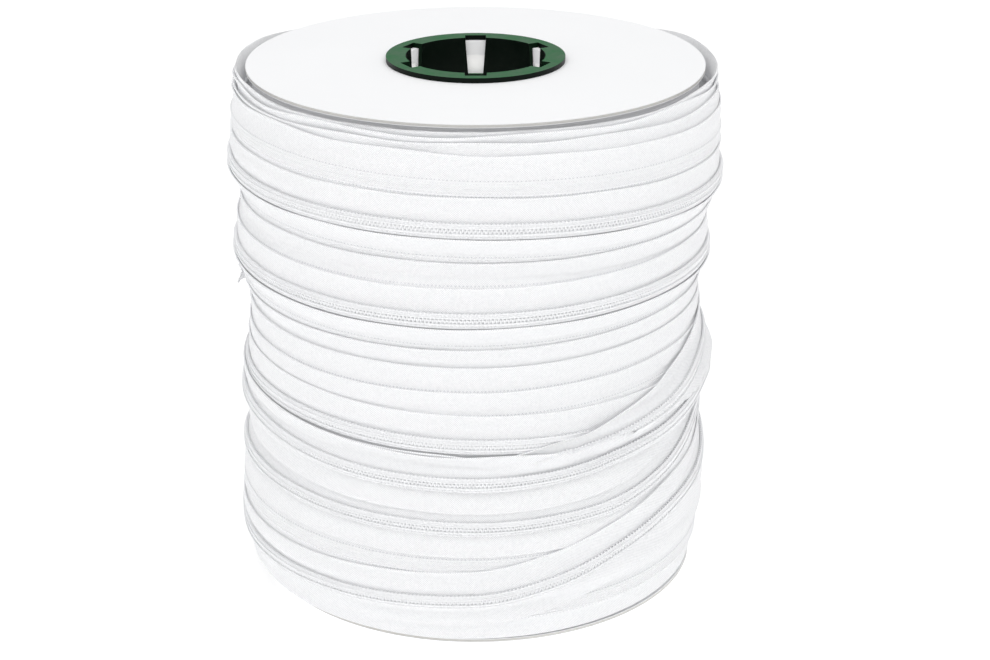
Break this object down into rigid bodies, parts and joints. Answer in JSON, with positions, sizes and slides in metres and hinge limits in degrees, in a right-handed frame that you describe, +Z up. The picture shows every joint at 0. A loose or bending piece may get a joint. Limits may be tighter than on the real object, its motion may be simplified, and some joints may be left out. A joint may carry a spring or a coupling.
{
  "type": "zipper chain roll",
  "caption": "Roll of continuous coil zipper chain wound on a card-flanged reel with notched plastic bushes; the cut end of the chain peels away from the roll.",
  "frame": {"origin": "centre of the lower bush's outer face, which the roll stands on", "axes": "+Z up along the reel's spindle bore; -Y is the front; the loose end lies at -X"},
  "size_m": [0.2082, 0.2048, 0.2255],
  "materials": {
    "grey_board": "matte",
    "white_paper": "matte",
    "tube_paper": "matte",
    "green_plastic": "satin",
    "woven_tape": "matte",
    "nylon_coil": "satin",
    "wound_chain": "matte"
  },
  "bodies": {
    "spool": {"bottom_board": "grey_board", "bottom_bush": "green_plastic", "bottom_inner_paper": "white_paper", "bottom_outer_paper": "white_paper", "core_tube": "tube_paper", "inner_winding": "wound_chain", "top_board": "grey_board", "top_bush": "green_plastic", "top_inner_paper": "white_paper", "top_outer_paper": "white_paper", "turn_01_coils": "nylon_coil", "turn_01_lower_tape": "woven_tape", "turn_01_upper_tape": "woven_tape", "turn_02_coils": "nylon_coil", "turn_02_lower_tape": "woven_tape", "turn_02_upper_tape": "woven_tape", "turn_03_coils": "nylon_coil", "turn_03_lower_tape": "woven_tape", "turn_03_upper_tape": "woven_tape", "turn_04_coils": "nylon_coil", "turn_04_lower_tape": "woven_tape", "turn_04_upper_tape": "woven_tape", "turn_05_coils": "nylon_coil", "turn_05_lower_tape": "woven_tape", "turn_05_upper_tape": "woven_tape", "turn_06_coils": "nylon_coil", "turn_06_lower_tape": "woven_tape", "turn_06_upper_tape": "woven_tape", "turn_07_coils": "nylon_coil", "turn_07_lower_tape": "woven_tape", "turn_07_upper_tape": "woven_tape", "turn_08_coils": "nylon_coil", "turn_08_lower_tape": "woven_tape", "turn_08_upper_tape": "woven_tape", "turn_09_coils": "nylon_coil", "turn_09_lower_tape": "woven_tape", "turn_09_upper_tape": "woven_tape", "turn_10_coils": "nylon_coil", "turn_10_lower_tape": "woven_tape", "turn_10_upper_tape": "woven_tape", "turn_11_coils": "nylon_coil", "turn_11_lower_tape": "woven_tape", "turn_11_upper_tape": "woven_tape", "turn_12_coils": "nylon_coil", "turn_12_lower_tape": "woven_tape", "turn_12_upper_tape": "woven_tape", "turn_13_coils": "nylon_coil", "turn_13_lower_tape": "woven_tape", "turn_13_upper_tape": "woven_tape", "turn_14_coils": "nylon_coil", "turn_14_lower_tape": "woven_tape", "turn_14_upper_tape": "woven_tape", "turn_15_coils": "nylon_coil", "turn_15_lower_tape": "woven_tape", "turn_15_upper_tape": "woven_tape", "turn_16_coils": "nylon_coil", "turn_16_lower_tape": "woven_tape", "turn_16_upper_tape": "woven_tape"},
    "loose_end": {"loose_end_tapes": "woven_tape", "loose_end_coils": "nylon_coil"}
  },
  "joints": [
    {"name": "loose_end_peel", "type": "hinge", "parent": "spool", "child": "loose_end", "pos_m": [-0.08014, 0.06261, 0.1257], "axis": [0, 0, -1], "range_deg": [0, 75]}
  ]
}
